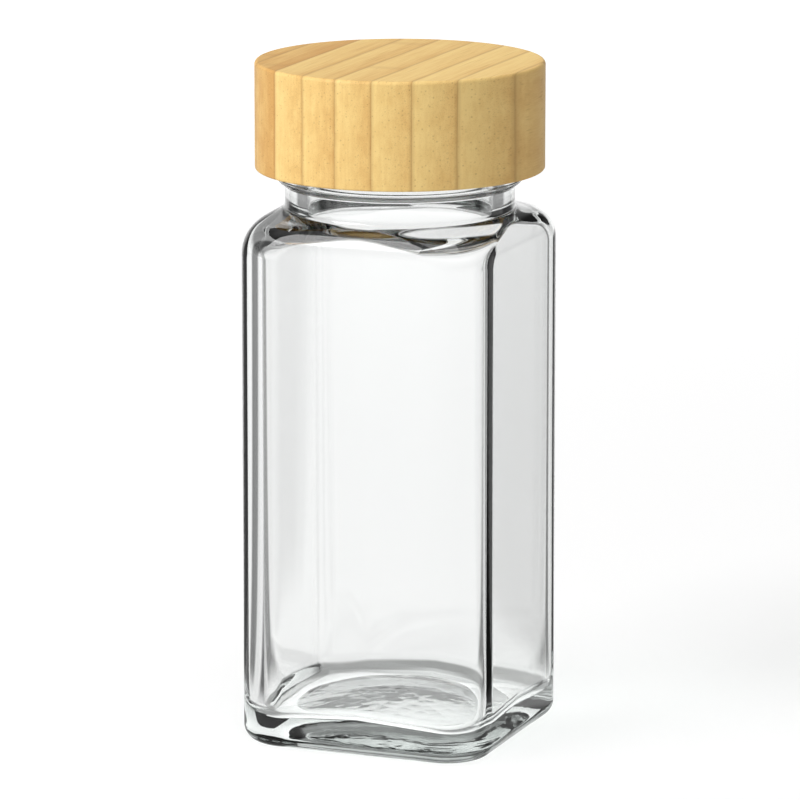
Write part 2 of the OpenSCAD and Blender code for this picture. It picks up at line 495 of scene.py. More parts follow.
class Board:
    """The node board of one material or world."""

    # Where a Mix node that mixes colours takes them and gives the result.
    FIRST_COLOUR, SECOND_COLOUR, MIXED_COLOUR = 6, 7, 2

    def __init__(self, owner: bpy.types.Material | bpy.types.World) -> None:
        """Clears the board."""
        owner.use_nodes = True
        kind = "World" if isinstance(owner, bpy.types.World) else "Material"
        self.output = "ShaderNodeOutput" + kind
        self.tree = owner.node_tree
        self.tree.nodes.clear()

    def add(
        self, kind: str, settings: Settings | None = None, sockets: Settings | None = None
    ) -> bpy.types.Node:
        """Adds a node.

        Args:
            kind: The node's type.
            settings: Its settings by name, set first. "stops" gives a ramp's places and colours.
            sockets: The value or link of each socket, by name or number. A node stands for its first output.

        Returns:
            The node.
        """
        made = self.tree.nodes.new(kind)
        for name, value in (settings or {}).items():
            if name == "stops":
                self._stops(made, value)
            else:
                setattr(made, name, value)
        for name, value in (sockets or {}).items():
            if isinstance(value, Value):
                value = value.socket
            elif isinstance(value, bpy.types.Node):
                value = value.outputs[0]
            if isinstance(value, Socket):
                self.tree.links.new(value, made.inputs[name])
            else:
                made.inputs[name].default_value = value
        return made

    @staticmethod
    def _stops(ramp: bpy.types.Node, stops: Sequence[tuple[float, Colour]]) -> None:
        """Sets the places and colours of a ramp's stops."""
        elements = ramp.color_ramp.elements
        while len(elements) < len(stops):
            elements.new(0.5)
        for element, (place, colour) in zip(elements, stops):
            element.position = place
            element.color = colour

    def place(self, often: Triple = (1.0, 1.0, 1.0)) -> Socket:
        """Gives the place on the piece in millimetres, with each axis stretched by its own number."""
        here = self.add("ShaderNodeTexCoord").outputs["Object"]
        scale = tuple(times / MM for times in often)
        made = self.add("ShaderNodeMapping", {"vector_type": "POINT"}, {"Vector": here, "Scale": scale})
        return made.outputs[0]

    def parts(self, vector: Socket) -> tuple[Value, Value, Value]:
        """Splits a vector into its three numbers."""
        split = self.add("ShaderNodeSeparateXYZ", None, {0: vector})
        return (Value(self, split.outputs[0]), Value(self, split.outputs[1]), Value(self, split.outputs[2]))

    def joined(self, x: object, y: object, z: object = 0.0) -> Socket:
        """Joins three numbers into a vector."""
        return self.add("ShaderNodeCombineXYZ", None, {0: x, 1: y, 2: z}).outputs[0]

    def noise(self, where: Socket, layers: float, rough: float) -> Value:
        """Gives a soft random pattern around 0.5.

        Args:
            where: Where it is read.
            layers: How many finer layers it has.
            rough: How strong the finer layers are.

        Returns:
            The pattern.
        """
        sockets = {"Vector": where, "Scale": 1.0, "Detail": layers, "Roughness": rough}
        return Value(self, self.add("ShaderNodeTexNoise", None, sockets).outputs[0])

    def dots(self, where: Socket, loose: float = 1.0) -> tuple[Value, Socket]:
        """Gives the distance to the nearest of scattered points, and a random colour for each of them."""
        sockets = {"Vector": where, "Scale": 1.0, "Randomness": loose}
        made = self.add("ShaderNodeTexVoronoi", {"feature": "F1"}, sockets)
        return (Value(self, made.outputs["Distance"]), made.outputs["Color"])

    def chance(self, number: Value, seed: float) -> Value:
        """Gives a random number from 0 to 1 that is the same wherever the number is."""
        sockets = {"Vector": self.joined(number, seed)}
        made = self.add("ShaderNodeTexWhiteNoise", {"noise_dimensions": "3D"}, sockets)
        return Value(self, made.outputs[0])

    def blend(self, share: object, first: object, second: object) -> Socket:
        """Mixes two colours.

        Args:
            share: How much of the second there is.
            first: The first colour.
            second: The second colour.

        Returns:
            The socket with the colour.
        """
        sockets = {0: share, self.FIRST_COLOUR: first, self.SECOND_COLOUR: second}
        made = self.add("ShaderNodeMix", {"data_type": "RGBA", "blend_type": "MIX"}, sockets)
        return made.outputs[self.MIXED_COLOUR]

    def ramp(self, value: Value, stops: Sequence[tuple[float, Colour]]) -> Socket:
        """Turns a number into a colour by a ramp."""
        return self.add("ShaderNodeValToRGB", {"stops": stops}, {0: value}).outputs[0]

    def bump(self, height: Value, strength: float, depth: float) -> Socket:
        """Turns a height from 0 to 1 into a normal.

        Args:
            height: The height pattern.
            strength: How strong it is, from 0 to 1.
            depth: How many millimetres 1 stands for.

        Returns:
            The socket with the normal.
        """
        sockets = {"Strength": strength, "Distance": depth * MM, "Height": height}
        return self.add("ShaderNodeBump", None, sockets).outputs[0]

    def rays(self) -> tuple[Value, Value]:
        """Tells the camera's rays, and the rays that gloss and glass send out."""
        path = self.add("ShaderNodeLightPath")
        names = ("Is Camera Ray", "Is Glossy Ray", "Is Transmission Ray")
        camera, glossy, through = (Value(self, path.outputs[name]) for name in names)
        return (camera, glossy.most(through))

    def mixed(self, share: object, first: bpy.types.Node, second: bpy.types.Node) -> bpy.types.Node:
        """Mixes two shaders by the share of the second."""
        return self.add("ShaderNodeMixShader", None, {0: share, 1: first, 2: second})

    def show(self, surface: bpy.types.Node, volume: bpy.types.Node | None = None) -> None:
        """Ends the board with its output."""
        sockets: Settings = {"Surface": surface}
        if volume is not None:
            sockets["Volume"] = volume
        self.add(self.output, None, sockets)


@dataclass(frozen=True)
class Grain:
    """A random pattern: how often it changes in a millimetre along X, Y and Z, and its finer layers."""

    often: Triple
    layers: float = 2.0
    rough: float = 0.5

    def on(self, board: Board) -> Value:
        """Gives the pattern, around 0.5."""
        return board.noise(board.place(self.often), self.layers, self.rough)


@dataclass(frozen=True)
class StripGrain(Grain):
    """A pattern that differs from strip to strip: each strip moves it on along Y, and maybe sideways."""

    onward: float = 0.0
    sideways: float = 0.0

    def place(self, board: Board, here: tuple[Value, Value, Value], strip: Value) -> Socket:
        """Gives where the pattern is read.

        Args:
            board: The board that takes the nodes.
            here: The place on the piece in millimetres.
            strip: The strip's number.

        Returns:
            The socket with the place.
        """
        across = here[0] + strip * self.sideways if self.sideways else here[0]
        along = here[1] * self.often[1] + strip * self.onward
        return board.joined(across * self.often[0], along, here[2] * self.often[2])

    def within(self, board: Board, here: tuple[Value, Value, Value], strip: Value) -> Value:
        """Gives the pattern, around 0.5, from the same values as its place."""
        return board.noise(self.place(board, here, strip), self.layers, self.rough)


# Finishes


@dataclass(frozen=True)
class ClearGlass:
    """Pressed soda glass: clear, faintly green through its thick base, and uneven towards its foot.

    The depth is the density with which the glass takes its depth tint. Waves and stipple are relief, and a
    fade goes by the height above the floor.
    """

    tint: Colour = (0.99, 0.992, 0.991, 1.0)
    shadow_tint: Colour = (0.94, 0.947, 0.943, 1.0)
    depth_tint: Colour = (0.52, 0.575, 0.555, 1.0)
    depth: float = 24.0
    bend: float = 1.5
    soft_wave: Grain = Grain((0.045, 0.045, 0.02), 1.5, 0.4)
    base_wave: Grain = Grain((0.24, 0.24, 0.3))
    base_fade: Ease = Ease(4.0, 16.0, 1.4, 0.0)
    stipple: Triple = (0.4, 0.4, 0.4)
    stipple_loose: float = 0.9
    stipple_form: Ease = Ease(0.1, 0.8, 0.8, 0.0)
    stipple_fade: Ease = Ease(1.0, 3.2, 1.0, 0.0)
    relief: float = 0.05

    def material(self) -> bpy.types.Material:
        """Builds the glass."""
        made = bpy.data.materials.new("clear_glass")
        board = Board(made)
        height = board.parts(board.place())[2]
        wave = self.soft_wave.on(board)
        heavy = self.base_wave.on(board) * height.eased(self.base_fade)
        near, _ = board.dots(board.place(self.stipple), self.stipple_loose)
        stipple = near.eased(self.stipple_form) * height.eased(self.stipple_fade)
        glass = board.add(
            "ShaderNodeBsdfPrincipled", None,
            {
                "Base Color": self.tint, "Roughness": 0.0, "IOR": self.bend, "Transmission Weight": 1.0,
                "Normal": board.bump(wave + heavy + stipple, 0.5, self.relief),
            },
        )
        through = board.add("ShaderNodeBsdfTransparent", None, {"Color": self.shadow_tint})
        lamp = board.add("ShaderNodeLightPath").outputs["Is Shadow Ray"]
        absorbed = {"Color": self.depth_tint, "Density": self.depth}
        body = board.add("ShaderNodeVolumeAbsorption", None, absorbed)
        board.show(board.mixed(lamp, glass, through), body)
        return made


@dataclass(frozen=True)
class BambooLaminate:
    """Bamboo strips glued side by side. Fibres run along Y: two sides show their ends and two their length.

    Each strip has its own tone, from the lightest at 0, and its darker rind lies on one side or the other. A
    share is how much a pattern counts for, and a form is how a distance becomes a mark.
    """

    strip: float = 6.08
    first_joint: float = 4.2
    wander: Grain = Grain((0.03, 0.05, 0.08))
    wander_reach: float = 0.35
    end_faces: Ease = Ease(0.12, 0.6)
    strip_tones: tuple[float, ...] = (0.9, 1.4, 0.3, 0.5, 0.35, 0.1, 0.05, 0.0, 0.95)
    tone_share: float = 0.46
    turned_share: float = 0.12
    turned_seed: float = 7.0
    rind_share: float = 0.46
    bundles: StripGrain = StripGrain((2.0, 0.07, 1.8), onward=5.3, sideways=3.7)
    bundle_form: Ease = Ease(0.1, 0.34, 1.0, 0.0)
    bundle_choice: Ease = Ease(0.25, 1.0)
    bundle_share: float = 0.75
    specks: StripGrain = StripGrain((4.2, 0.12, 3.6), onward=2.1, sideways=1.9)
    speck_form: Ease = Ease(0.15, 0.42, 1.0, 0.0)
    speck_by_rind: Ease = Ease(0.1, 1.0, 0.35, 1.0)
    speck_share: float = 0.4
    speckle_shade: Ease = Ease(0.0, 1.0, 0.3, 0.46)
    fibre: StripGrain = StripGrain((7.0, 0.16, 7.0), 4.0, 0.65, onward=4.1)
    fibre_share: float = 0.6
    cloud: StripGrain = StripGrain((0.45, 0.05, 0.3), 3.0, 0.6, onward=9.0)
    cloud_share: float = 0.9
    streak: StripGrain = StripGrain((2.4, 0.05, 0.22), 3.0, 0.6, onward=6.1)
    streak_share: float = 0.6
    knuckle_seed: float = 11.0
    knuckle_spread: float = 60.0
    knuckle_waver: float = 3.0
    knuckle_form: Ease = Ease(0.2, 2.2, 1.0, 0.0)
    knuckle_shade: float = 0.12
    seam_form: Ease = Ease(0.4, 0.5)
    seam_shade: float = 0.26
    glue_form: Ease = Ease(0.475, 0.497)
    glue_shade: float = 0.16
    groove_form: Ease = Ease(0.482, 0.497)
    light: Colour = tone(244, 211, 138)
    middle: Colour = tone(233, 194, 122)
    middle_place: float = 0.45
    deep: Colour = tone(212, 163, 94)
    dark: Colour = tone(150, 102, 54)
    relief: float = 0.05

    def _tone_of(self, board: Board, strip: Value) -> Value:
        """Gives the tone of a strip by its number: the tones start at -5, and strip 0 at the first joint."""
        count = len(self.strip_tones)
        stops = [((number + 0.5) / count, grey(level)) for number, level in enumerate(self.strip_tones)]
        return Value(board, board.ramp((strip + (count + 1) / 2 + 0.5) / count, stops))

    def material(self) -> bpy.types.Material:
        """Builds the bamboo."""
        made = bpy.data.materials.new("bamboo")
        board = Board(made)
        here = board.parts(board.place())
        facing = board.parts(board.add("ShaderNodeTexCoord").outputs["Normal"])
        end_grain = abs(facing[1]).eased(self.end_faces)
        wander = self.wander.on(board).centred() * self.wander_reach
        across = (here[0] + wander - self.first_joint) / self.strip
        strip = across.floor()
        inside = across - strip
        turned_over = board.chance(strip, self.turned_seed).above(self.turned_share)
        rind = turned_over * inside + (1 - turned_over) * (1 - inside)

        # The fibre bundles are long in Y and small across it: dots on the ends, dashes on the sides and top.
        near, kind = board.dots(self.bundles.place(board, here, strip))
        bundle = near.eased(self.bundle_form) * board.parts(kind)[0].eased(self.bundle_choice)
        near, _ = board.dots(self.specks.place(board, here, strip))
        speck = near.eased(self.speck_form) * rind.eased(self.speck_by_rind)
        speckle = (bundle * self.bundle_share + speck * self.speck_share).least(1.0)
        fibre = self.fibre.within(board, here, strip)
        cloud = self.cloud.within(board, here, strip).centred() * self.cloud_share
        streak = self.streak.within(board, here, strip).centred() * self.streak_share

        knuckle_place = board.chance(strip, self.knuckle_seed).centred() * self.knuckle_spread
        knuckle_off = abs(here[1] - knuckle_place + fibre.centred() * self.knuckle_waver)
        knuckle = knuckle_off.eased(self.knuckle_form) * (1 - end_grain)
        seam = abs(inside - 0.5)
        joint = seam.eased(self.seam_form) * self.seam_shade + seam.eased(self.glue_form) * self.glue_shade

        level = self._tone_of(board, strip) * self.tone_share + fibre.centred() * self.fibre_share
        level = level + cloud + streak + rind * self.rind_share
        wood = board.ramp(level, [(0.0, self.light), (self.middle_place, self.middle), (1.0, self.deep)])
        wood = board.blend(speckle * end_grain.eased(self.speckle_shade), wood, self.dark)
        wood = board.blend(knuckle * self.knuckle_shade, wood, self.dark)
        wood = board.blend(joint, wood, self.dark)

        matte = 0.5 + fibre.centred() * 0.2 + speckle * 0.1
        relief = fibre * 0.5 - speckle * 0.4 - seam.eased(self.groove_form) * 0.8 + 0.5
        board.show(board.add(
            "ShaderNodeBsdfPrincipled", None,
            {
                "Base Color": wood, "Roughness": matte, "IOR": 1.45, "Specular IOR Level": 0.3,
                "Normal": board.bump(relief, 0.5, self.relief),
            },
        ))
        return made


@dataclass(frozen=True)
class MouldedPlastic:
    """White moulded plastic with a fine spark-eroded matt, and a faint second tone where it flowed."""

    colour: Colour = tone(226, 226, 223)
    flow_colour: Colour = tone(215, 215, 211)
    flow: Grain = Grain((0.12, 0.12, 0.3))
    grain: Grain = Grain((7.0, 7.0, 7.0))
    rough: float = 0.34
    glow_depth: float = 1.2
    relief: float = 0.02

    def material(self) -> bpy.types.Material:
        """Builds the plastic."""
        made = bpy.data.materials.new("white_plastic")
        board = Board(made)
        flow = self.flow.on(board)
        board.show(board.add(
            "ShaderNodeBsdfPrincipled", None,
            {
                "Base Color": board.blend(flow * 0.4, self.colour, self.flow_colour),
                "Roughness": self.rough + flow.centred() * 0.1, "IOR": 1.49,
                "Subsurface Weight": 0.15, "Subsurface Scale": self.glow_depth * MM,
                "Normal": board.bump(self.grain.on(board), 0.25, self.relief),
            },
        ))
        return made


@dataclass(frozen=True)
class FoamDisc:
    """Closed-cell foam: matt, off-white, with fine pores."""

    colour: Colour = tone(232, 232, 228)
    pore_colour: Colour = tone(200, 200, 196)
    pores: Triple = (4.5, 4.5, 4.5)
    pore_form: Ease = Ease(0.1, 0.45, 1.0, 0.0)
    rough: float = 0.82
    relief: float = 0.08

    def material(self) -> bpy.types.Material:
        """Builds the foam."""
        made = bpy.data.materials.new("foam")
        board = Board(made)
        near, _ = board.dots(board.place(self.pores))
        pore = near.eased(self.pore_form)
        board.show(board.add(
            "ShaderNodeBsdfPrincipled", None,
            {
                "Base Color": board.blend(pore * 0.5, self.colour, self.pore_colour),
                "Roughness": self.rough + pore * 0.1, "IOR": 1.42,
                "Normal": board.bump(1 - pore, 0.5, self.relief),
            },
        ))
        return made


# Glass


class Ring(NamedTuple):
    """One outline of the glass: a square whose corners are rounded, or a circle where the spread is 0."""

    corner: float
    spread: float
    height: float


@dataclass(frozen=True)
class Shoulder:
    """One face of the shoulder: its sides turn in on an arc, its corners on an arc that ends in a slope."""

    half_width: float
    corner_reach: float
    curve: float
    side_start: float
    slope_top: float
    slope: float = 0.24933

    def corner_start(self) -> float:
        """Gives the height at which the corners leave the upright."""
        fall = math.atan(self.slope)
        end = self.corner_reach - self.curve * (1 - math.sin(fall))
        return self.slope_top - end * self.slope - self.curve * math.cos(fall)

    def slope_at(self, reach: float) -> float:
        """Gives the height of the slope at a distance from the axis."""
        return self.slope_top - self.slope * reach

    def ring(self, height: float) -> Ring:
        """Gives the outline at a height.

        Args:
            height: The height, at or above the place where the corners leave the upright.

        Returns:
            The outline as a ring.
        """
        over = min(self.curve, max(0.0, height - self.side_start))
        side = self.half_width - self.curve + math.sqrt(self.curve**2 - over**2)
        rise = min(self.curve, height - self.corner_start())
        arced = self.corner_reach - self.curve + math.sqrt(self.curve**2 - rise**2)
        sloped = (self.slope_top - height) / self.slope
        past_arc = rise > self.curve * math.cos(math.atan(self.slope))
        corner = sloped if past_arc else arced
        spread = max(0.0, (corner - side) / (math.sqrt(2) - 1))
        return Ring(side - spread, spread, height)


@dataclass
class GlassJar:
    """The glass: a square body with rounded corners, a shoulder that turns round, and a threaded neck finish.

    Push rings lie under the base, which is pushed up as far as the last of them. Under the bead the neck
    widens by steps, each with its height. Over it the ledge has reaches, each with its height above the bead.
    The floor's rings are shares of the size of the first.
    """

    half_width: float = 21.5
    side_wall: float = 2.7
    corner: float = 8.0
    inner_corner: float = 6.0
    push_rings: tuple[float, ...] = (0.0, 3.0, 6.0, 9.0, 11.5, 13.5, 15.0, 15.6, 16.0)
    push_up: float = 1.4
    foot_width: float = 0.7
    heel: float = 2.8
    side_low: float = 6.0
    side_high: float = 78.0
    outside: Shoulder = Shoulder(half_width, 27.092, 5.5, 82.18, 91.65)
    outside_top: float = 86.62
    cove: float = 1.2
    cove_start: float = 228.0
    cove_height: float = 87.84
    neck: float = 18.65
    under_bead: tuple[Point, ...] = ((0.0, 89.4), (0.0, 90.7), (0.04, 90.95), (0.16, 91.13))
    bead: float = 20.0
    bead_low: float = 91.2
    bead_high: float = 93.5
    bead_turn: float = 78.0
    ledge: tuple[Point, ...] = ((18.3, 0.0), (17.9, 0.0), (17.68, 0.08), (17.57, 0.26))
    wall: float = 17.55
    wall_low: float = 93.95
    wall_high: float = 103.3
    rim: float = 104.4
    rim_edge: float = 0.9
    rim_middle: float = 16.1
    mouth: float = 15.0
    mouth_edge: float = 0.5
    mouth_heights: tuple[float, ...] = (102.0, 99.0, 96.0, 93.0, 90.0, 88.0)
    throat: float = 1.6
    throat_end: float = 256.0
    throat_height: float = 86.26
    ceiling: tuple[float, ...] = (17.0, 17.6)
    inside: Shoulder = Shoulder(half_width - side_wall, 24.102, 2.8, 82.21, 88.75)
    inside_top: float = 84.25
    inner_high: float = 77.0
    inner_low: float = 11.0
    floor_edge: float = 3.0
    floor_low: float = 3.34
    floor_rings: tuple[float, ...] = (0.93, 0.85, 0.76, 0.66, 0.55, 0.44, 0.33, 0.22, 0.11, 0.0)
    dome: float = 3.26
    dome_reach: float = 26.59
    quarter_steps: int = 26
    spread_digits: int = 5
    thread: ThreadTurn = ThreadTurn(96.75, 205.0, 1.25, 2.5, 1.15)

    def _foot(self) -> list[Ring]:
        """Lists the rings from the middle of the underside to the top of the upright wall."""
        spread = self.half_width - self.corner
        foot = self.half_width - self.heel
        made = [Ring(reach, 0.0, 0.0) for reach in self.push_rings]
        made.append(Ring(foot - self.foot_width - spread, spread, 0.0))
        heel = rounded(Edge.LOW_OUTER, (self.half_width, 0.0), self.heel, steps=10)
        made += [Ring(reach - spread, spread, height) for reach, height in heel]
        return made + [Ring(self.corner, spread, z) for z in spaced(self.side_low, self.side_high, steps=12)]

    def _neck(self) -> list[Ring]:
        """Lists the round rings from the cove over the bead and the rim to the ceiling of the shoulder."""
        swell = (self.bead_high - self.bead_low) / 2
        bead_middle = (self.bead - swell, (self.bead_low + self.bead_high) / 2)
        profile = arc((self.neck + self.cove, self.cove_height), self.cove, self.cove_start, 180, steps=5)
        profile += [(self.neck + wider, height) for wider, height in self.under_bead]
        profile += arc(bead_middle, swell, -self.bead_turn, self.bead_turn, steps=14)
        profile += [(reach, self.bead_high + above) for reach, above in self.ledge]
        profile += [(self.wall, height) for height in spaced(self.wall_low, self.wall_high, steps=44)]
        profile += rounded(Edge.TOP_OUTER, (self.wall, self.rim), self.rim_edge, steps=7)
        profile.append((self.rim_middle, self.rim))
        profile += rounded(Edge.TOP_INNER, (self.mouth, self.rim), self.mouth_edge, steps=6)
        profile += [(self.mouth, height) for height in self.mouth_heights]
        throat_middle = (self.mouth + self.throat, self.throat_height)
        profile += arc(throat_middle, self.throat, 180, self.throat_end, steps=9)
        profile += [(reach, self.inside.slope_at(reach)) for reach in self.ceiling]
        return [Ring(reach, 0.0, height) for reach, height in profile]

    def _floor(self) -> list[Ring]:
        """Lists the rings from the inner wall's foot to the middle of the floor, before it is domed."""
        spread = self.half_width - self.side_wall - self.inner_corner
        edge = self.half_width - self.side_wall - self.floor_edge
        turn = arc((edge, self.floor_low + self.floor_edge), self.floor_edge, 0, -90, steps=10)
        made = [Ring(reach - spread, spread, height) for reach, height in turn]
        last = made[-1]
        for share in self.floor_rings:
            made.append(Ring(last.corner * share, last.spread * share, self.floor_low))
        return made

    def rings(self) -> list[Ring]:
        """Lists the rings from the middle of the underside, over the rim, to the middle of the floor."""
        spread = self.half_width - self.side_wall - self.inner_corner
        outer = spaced(self.outside.corner_start(), self.outside_top, steps=26)
        inner = spaced(self.inside_top, self.inside.corner_start(), steps=19)
        upright = spaced(self.inner_high, self.inner_low, steps=11)
        made = self._foot() + [self.outside.ring(height) for height in outer] + self._neck()
        made += [self.inside.ring(height) for height in inner]
        return made + [Ring(self.inner_corner, spread, height) for height in upright] + self._floor()

    def _spread_corners(self, bench: Bench, rings: Sequence[Ring]) -> None:
        """Moves a quarter's rings out from the axis, each by its own spread.

        Args:
            bench: The quarter, spun about the axis.
            rings: The rings by number.
        """
        spreads: dict[float, list[int]] = {}
        for number, ring in enumerate(rings):
            if ring.spread > 0:
                spreads.setdefault(round(ring.spread, self.spread_digits), []).append(number)
        for spread, numbers in spreads.items():
            bench.pick("ring", numbers)
            bpy.ops.transform.translate(value=(spread * MM, spread * MM, 0.0))

    @staticmethod
    def _end_of(place: int, vertex: bmesh.types.BMVert) -> int:
        """Tells on which ends of the quarter a point lies. On the axis it lies on both."""
        return End.ON_XZ * (abs(vertex.co.y) < TOUCHING) + End.ON_YZ * (abs(vertex.co.x) < TOUCHING)

    @staticmethod
    def _reach_middle(bench: Bench) -> None:
        """Extends both ends of the quarter straight to the planes through the axis, where it is mirrored."""
        for end, flat in ((End.ON_XZ, (1.0, 0.0, 1.0)), (End.ON_YZ, (0.0, 1.0, 1.0))):
            bench.pick("end", (end, End.ON_XZ | End.ON_YZ))
            bpy.ops.mesh.extrude_edges_move(TRANSFORM_OT_translate=NO_MOVE)
            bpy.ops.transform.resize(value=flat, center_override=(0, 0, 0))

    @staticmethod
    def _dome(bench: Bench, numbers: Sequence[int], lift: float, reach: float) -> None:
        """Bulges flat rings with a round falloff about their middle point, and hides the rest meanwhile.

        Args:
            bench: The piece.
            numbers: The rings that may move, the middle point first.
            lift: How far the middle point goes up.
            reach: How far from it the bulge ends.
        """
        bench.pick("ring", numbers)
        bpy.ops.mesh.hide(unselected=True)
        bench.pick("ring", numbers[:1])
        bpy.ops.transform.translate(
            value=(0.0, 0.0, lift * MM), use_proportional_edit=True,
            proportional_edit_falloff="INVERSE_SQUARE", proportional_size=reach * MM,
        )
        bpy.ops.mesh.reveal(select=False)

    def _quarter(self, rings: Sequence[Ring]) -> Bench:
        """Spins one quarter of the glass, and spreads its corner.

        Args:
            rings: The rings by number.

        Returns:
            The bench with the quarter, in edit mode.
        """
        bench = Bench("jar_glass")
        bench.draw([(ring.corner, ring.height) for ring in rings])
        bench.mark("ring", lambda place, vertex: place)
        bench.spin(-90, self.quarter_steps)
        bench.mark("end", self._end_of)
        self._spread_corners(bench, rings)
        self._reach_middle(bench)
        bench.close()
        return bench

    def build(self) -> list[bpy.types.Object]:
        """Models the glass as one closed surface, outside and inside.

        Returns:
            The glass, which rides on the jar and stands for its node.
        """
        rings = self.rings()
        bench = self._quarter(rings)
        piece = bench.leave()
        finish_with(piece, "MIRROR", use_axis=(True, True, False), merge_threshold=TOUCHING)
        bench.enter()
        bench.close()
        self._dome(bench, range(len(self.push_rings)), self.push_up, self.push_rings[-1])
        last = len(rings) - 1
        self._dome(bench, range(last, last - len(self._floor()), -1), self.dome, self.dome_reach)
        bench.leave()

        # No place is ruled out, so the wall of the mouth is raised too, behind the ridge.
        self.thread.raise_on(piece, lambda place: True)
        smooth(piece)
        piece.data.materials.append(ClearGlass().material())
        return [settle(piece, Body.JAR, "glass_jar")]


# Sifter


@dataclass
class Sifter:
    """The shaker insert: a flange on the rim, a ribbed plug in the mouth, and a plate with round holes.

    The ribs' heights and the lead-in count from the foot of the plug. A fillet or a lip has its size and how
    far its middle point lies from the corner.
    """

    flange: float = 17.0
    flange_low: float = GlassJar.rim
    flange_high: float = 105.2
    flange_under_edge: float = 0.25
    flange_top_edge: float = 0.3
    flange_fillet: Point = (0.25, 0.08)
    plug: float = 14.5
    plug_low: float = 98.4
    lead_in: tuple[Point, ...] = ((-0.45, 0.0), (-0.1, 0.35), (0.0, 0.7))
    rib: float = 14.9
    ribs: tuple[float, ...] = (1.6, 3.6)
    rib_foot: float = 0.55
    rib_crest: float = 0.14
    rib_fall: float = 0.08
    inner: float = 13.4
    inner_middle: float = 100.5
    inner_edge: tuple[Point, ...] = ((0.0, 0.3), (0.25, 0.0))
    inner_lip: Point = (0.35, 0.1)
    plate: float = 11.8
    plate_low: float = 102.8
    plate_high: float = 103.8
    plate_fillet: Point = (0.5, 0.12)
    hole: float = 3.0
    hole_pitch: float = 4.6
    hole_rings: int = 2
    drill_length: float = 4.0
    softness: float = 0.12

    def hole_places(self) -> list[Point]:
        """Lists the middles of the holes, one in the middle and rings of six and twelve about it."""
        places = [(0.0, 0.0)]
        for ring in range(1, self.hole_rings + 1):
            for number in range(6 * ring):
                side, along = divmod(number, ring)
                turn, onward = math.radians(60 * side), math.radians(60 * side + 120)
                reach, step = ring * self.hole_pitch, along * self.hole_pitch
                x = reach * math.cos(turn) + step * math.cos(onward)
                y = reach * math.sin(turn) + step * math.sin(onward)
                places.append((x, y))
        return places

    def _drills(self) -> bpy.types.Object:
        """Models one drill, copies it to every hole, each copy with its own mesh, and joins them."""
        radius, length = self.hole / 2 * MM, self.drill_length * MM
        middle = (self.plate_low + self.plate_high) / 2 * MM
        bpy.ops.object.select_all(action="DESELECT")
        bpy.ops.mesh.primitive_cylinder_add(vertices=32, radius=radius, depth=length, location=(0, 0, middle))
        first = bpy.context.object
        drills = [first]
        for x, y in self.hole_places()[1:]:
            alone(first)
            bpy.ops.object.duplicate(linked=False)
            bpy.ops.transform.translate(value=(x * MM, y * MM, 0.0))
            drills.append(bpy.context.object)
        alone(first)
        for drill in drills:
            drill.select_set(True)
        bpy.ops.object.join()
        return first

    def _rib(self, middle: float) -> list[Point]:
        """Gives the points of one rib round the plug, from the height of its middle."""
        shoulder = self.rib - self.rib_fall
        return [
            (self.plug, middle - self.rib_foot), (shoulder, middle - self.rib_crest), (self.rib, middle),
            (shoulder, middle + self.rib_crest), (self.plug, middle + self.rib_foot),
        ]

    def _profile(self) -> list[Point]:
        """Lists the insert's profile, from under the plate round the plug and the flange to its top."""
        inner, low = self.inner, self.plug_low
        profile = [(0.0, self.plate_low), (self.plate, self.plate_low)]
        profile += softened((inner, self.plate_low), Way.IN, Way.DOWN, *self.plate_fillet)
        profile.append((inner, self.inner_middle))
        profile += [(inner + wider, low + above) for wider, above in self.inner_edge]
        profile += [(self.plug + wider, low + above) for wider, above in self.lead_in]
        for above in self.ribs:
            profile += self._rib(low + above)
        profile += softened((self.plug, self.flange_low), Way.DOWN, Way.OUT, *self.flange_fillet)
        profile += rounded(Edge.LOW_OUTER, (self.flange, self.flange_low), self.flange_under_edge, steps=3)
        profile += rounded(Edge.TOP_OUTER, (self.flange, self.flange_high), self.flange_top_edge, steps=4)
        profile += softened((inner, self.flange_high), Way.OUT, Way.DOWN, *self.inner_lip)
        profile += softened((inner, self.plate_high), Way.UP, Way.IN, *self.inner_lip)
        return profile + [(self.plate, self.plate_high), (0.0, self.plate_high)]

    def build(self, plastic: bpy.types.Material) -> list[bpy.types.Object]:
        """Turns the insert, drills its plate and softens every edge.

        Args:
            plastic: The finish.

        Returns:
            The insert.
        """
        piece = Bench("sifter_insert").turn(self._profile(), steps=112)
        drills = self._drills()
        finish_with(piece, "BOOLEAN", operation="DIFFERENCE", object=drills, solver="EXACT")
        bpy.data.objects.remove(drills)
        width, sharp = self.softness * MM, math.radians(60)
        finish_with(piece, "BEVEL", width=width, segments=2, limit_method="ANGLE", angle_limit=sharp)
        smooth(piece, 40)
        piece.data.materials.clear()
        piece.data.materials.append(plastic)
        return [settle(piece, Body.SIFTER, "sifter")]


# Lid


